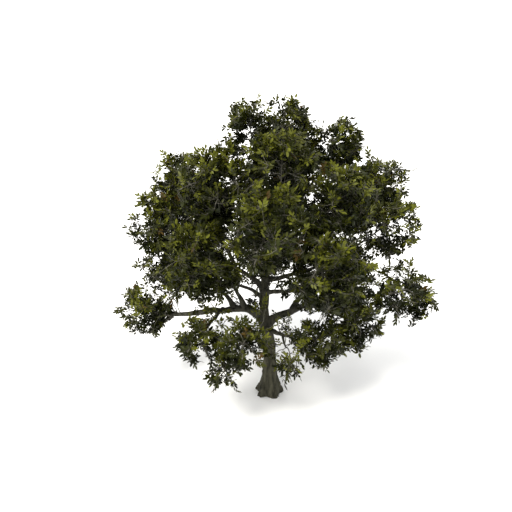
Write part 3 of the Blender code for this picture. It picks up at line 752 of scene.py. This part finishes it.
def node_material(name):
    """A new material, and its nodes, links and shader."""
    made = bpy.data.materials.new(name)
    made.use_nodes = True
    return made, made.node_tree.nodes, made.node_tree.links, made.node_tree.nodes["Principled BSDF"]


def noise(nodes, links, scale, detail, stretch=(1.0, 1.0, 1.0)):
    """A noise texture on the object's own coordinates."""
    place = nodes.new("ShaderNodeTexCoord")
    mapping = nodes.new("ShaderNodeMapping")
    mapping.inputs["Scale"].default_value = stretch
    texture = nodes.new("ShaderNodeTexNoise")
    texture.inputs["Scale"].default_value = scale
    texture.inputs["Detail"].default_value = detail
    links.new(place.outputs["Object"], mapping.inputs["Vector"])
    links.new(mapping.outputs["Vector"], texture.inputs["Vector"])
    return texture.outputs["Fac"]


def colour_ramp(nodes, links, source, stops):
    """A colour that follows a source through some stops, each with its place and its colour."""
    stops = list(stops)
    ramp = nodes.new("ShaderNodeValToRGB")
    elements = ramp.color_ramp.elements
    while len(elements) < len(stops):
        elements.new(0.5)
    for element, (position, colour) in zip(elements, stops):
        element.position = position
        element.color = (*colour, 1.0)
    links.new(source, ramp.inputs["Fac"])
    return ramp.outputs["Color"]


def bark_material(name, dark, light, bump):
    """Grey-brown bark: dark furrows, paler ridges and a grain that runs up the limb."""
    made, nodes, links, shader = node_material(name)
    streaks = noise(nodes, links, STREAK_SCALE, STREAK_DETAIL, STREAK_STRETCH)
    between = tuple((a + b) / 2 for a, b in zip(dark, light))
    colour = colour_ramp(nodes, links, streaks, zip(BARK_STOPS, (dark, between, light)))
    links.new(colour, shader.inputs["Base Color"])
    shader.inputs["Roughness"].default_value = BARK_ROUGHNESS
    shader.inputs["Specular IOR Level"].default_value = BARK_SHINE
    grain = noise(nodes, links, GRAIN_SCALE, GRAIN_DETAIL, GRAIN_STRETCH)
    relief = nodes.new("ShaderNodeBump")
    relief.inputs["Strength"].default_value = GRAIN_STRENGTH
    relief.inputs["Distance"].default_value = bump
    links.new(grain, relief.inputs["Height"])
    links.new(relief.outputs["Normal"], shader.inputs["Normal"])
    return made


def leaf_material(name, colour):
    """A leaf's green, a little uneven, with a soft waxy shine."""
    made, nodes, links, shader = node_material(name)
    mottle = noise(nodes, links, MOTTLE_SCALE, MOTTLE_DETAIL)
    darker = tuple(c * MOTTLE_DARK for c in colour)
    lighter = tuple(c * MOTTLE_LIGHT for c in colour)
    mottled = colour_ramp(nodes, links, mottle, zip(MOTTLE_STOPS, (darker, lighter)))
    links.new(mottled, shader.inputs["Base Color"])
    shader.inputs["Roughness"].default_value = LEAF_ROUGHNESS
    shader.inputs["Specular IOR Level"].default_value = LEAF_SHINE
    return made


def bough_shapes(lines, rng):
    """The shapes of all boughs."""
    shapes = []
    for name, bough in BOUGHS.items():
        parent_radius = along(lines[bough.parent], bough.share)[1]
        shapes.append(bough_shape(rng, lines[name], parent_radius))
    return shapes


def leaf_pieces(kind, corners, faces, surface):
    """The leaves of one colour, in as few pieces as their triangles allow."""
    pieces = math.ceil(len(faces) / PIECE_TRIANGLES)
    leaf_count = len(faces) // LEAF_TRIANGLES
    made = []
    for k in range(pieces):
        first, last = leaf_count * k // pieces, leaf_count * (k + 1) // pieces
        start = first * (LEAF_TRIANGLES + 1)
        some_corners = corners[start:last * (LEAF_TRIANGLES + 1)]
        some_faces = faces[first * LEAF_TRIANGLES:last * LEAF_TRIANGLES] - start
        made.append(new_mesh_object(f"leaves_{kind}_{k + 1}", some_corners, some_faces, surface))
    return made


def make_leaves(tips, arrive, light, rng):
    """All leaves. The sprays are dealt the colours in order, from the darkest place to the lightest: painted
    shade inside the masses and painted light outside and on top, mixed with chance.
    """
    shares = np.cumsum([share for _, share in LEAF_COLOURS.values()])
    # painted light and shade: a spray's rank mixes its place with chance
    score = LIT_BY_PLACE * light + (1.0 - LIT_BY_PLACE) * rng.random(len(tips)) * LIT_BY_CHANCE
    order = (np.argsort(np.argsort(score)) + 0.5) / len(tips)
    dealt = np.searchsorted(shares / shares[-1], order)
    leaves = []
    for i, (kind, (colour, _)) in enumerate(LEAF_COLOURS.items()):
        chosen = dealt == i
        shape = leaf_shapes(*leaf_roots(tips[chosen], arrive[chosen], rng))
        leaves += leaf_pieces(kind, *shape, leaf_material("leaf_" + kind, colour))
    return leaves


def make_tree():
    """All pieces of the tree, riding on the part's body and replacing its plain solids."""
    rng = np.random.default_rng(SEED)
    lines = {"trunk": trunk_line()}
    for name in BOUGHS:
        lines[name] = bough_line(name, lines)
    limbs = limb_pieces(lines)
    trunk_bark = bark_material("bark_trunk", BARK_DARK, BARK_LIGHT, TRUNK_GRAIN)
    limb_bark = bark_material("bark_limbs", BARK_DARK, LIMB_LIGHT, LIMB_GRAIN)
    twig_bark = bark_material("bark_twigs", TWIG_DARK, TWIG_LIGHT, TWIG_GRAIN)
    trunk = new_mesh_object("trunk_bark", *trunk_shape(rng, lines["trunk"]), trunk_bark)
    boughs = new_mesh_object("boughs_bark", *joined(bough_shapes(lines, rng)), limb_bark)

    masses = [grow_mass(name, lines, stem_line(name, lines), limbs, rng) for name in BOUGHS]
    twig_shapes, shoot_shapes, tips, arrive, light = zip(*masses)
    twigs = new_mesh_object("twigs", *joined(sum(twig_shapes, [])), twig_bark)
    shoots = new_mesh_object("shoots", *joined(shoot_shapes), twig_bark)
    # the leaves' colours carry painted shade inside the masses and painted light outside and on top
    leaves = make_leaves(np.concatenate(tips), np.concatenate(arrive), np.concatenate(light), rng)

    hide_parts("trunk")
    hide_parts(*["bough_" + name for name in BOUGHS])
    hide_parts(*["foliage_" + name for name in BOUGHS])
    for piece in (trunk, boughs, twigs, shoots):
        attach(piece, "root")
    for piece in leaves:
        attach(piece, "root")


def make_floor():
    """A plain pale floor."""
    mesh = bpy.data.meshes.new("floor")
    signs = ((-1, -1), (1, -1), (1, 1), (-1, 1))
    mesh.from_pydata([(x * FLOOR_HALF, y * FLOOR_HALF, 0.0) for x, y in signs], [], [(0, 1, 2, 3)])
    made, _, _, shader = node_material("floor")
    shader.inputs["Base Color"].default_value = (*FLOOR_COLOUR, 1.0)
    shader.inputs["Roughness"].default_value = FLOOR_ROUGHNESS
    shader.inputs["Specular IOR Level"].default_value = 0.0
    mesh.materials.append(made)
    floor = bpy.data.objects.new("floor", mesh)
    bpy.context.scene.collection.objects.link(floor)


def make_light():
    """Soft light from all round, and a broad key light from the upper left."""
    world = bpy.data.worlds.new("studio")
    bpy.context.scene.world = world
    world.use_nodes = True
    background = world.node_tree.nodes["Background"]
    background.inputs["Color"].default_value = WORLD_COLOUR
    background.inputs["Strength"].default_value = WORLD_STRENGTH
    key = bpy.data.lights.new("key", "SUN")
    key.energy = KEY_STRENGTH
    key.angle = KEY_ANGLE
    key.color = KEY_COLOUR
    lamp = bpy.data.objects.new("key", key)
    lamp.rotation_euler = KEY_TURN
    bpy.context.scene.collection.objects.link(lamp)


def make_camera():
    """The camera at the photograph's viewing angle."""
    data = bpy.data.cameras.new("camera")
    data.lens = LENS
    data.sensor_width = SENSOR_WIDTH
    data.clip_end = CLIP_END
    camera = bpy.data.objects.new("camera", data)
    back = Vector((0.0, -math.cos(CAMERA_RISE), math.sin(CAMERA_RISE)))
    camera.location = AIM + back * CAMERA_DISTANCE
    camera.rotation_euler = (math.radians(90.0) - CAMERA_RISE, 0.0, 0.0)
    bpy.context.scene.collection.objects.link(camera)
    bpy.context.scene.camera = camera


bpy.context.scene.view_settings.view_transform = "Standard"
make_tree()
make_floor()
make_light()
make_camera()
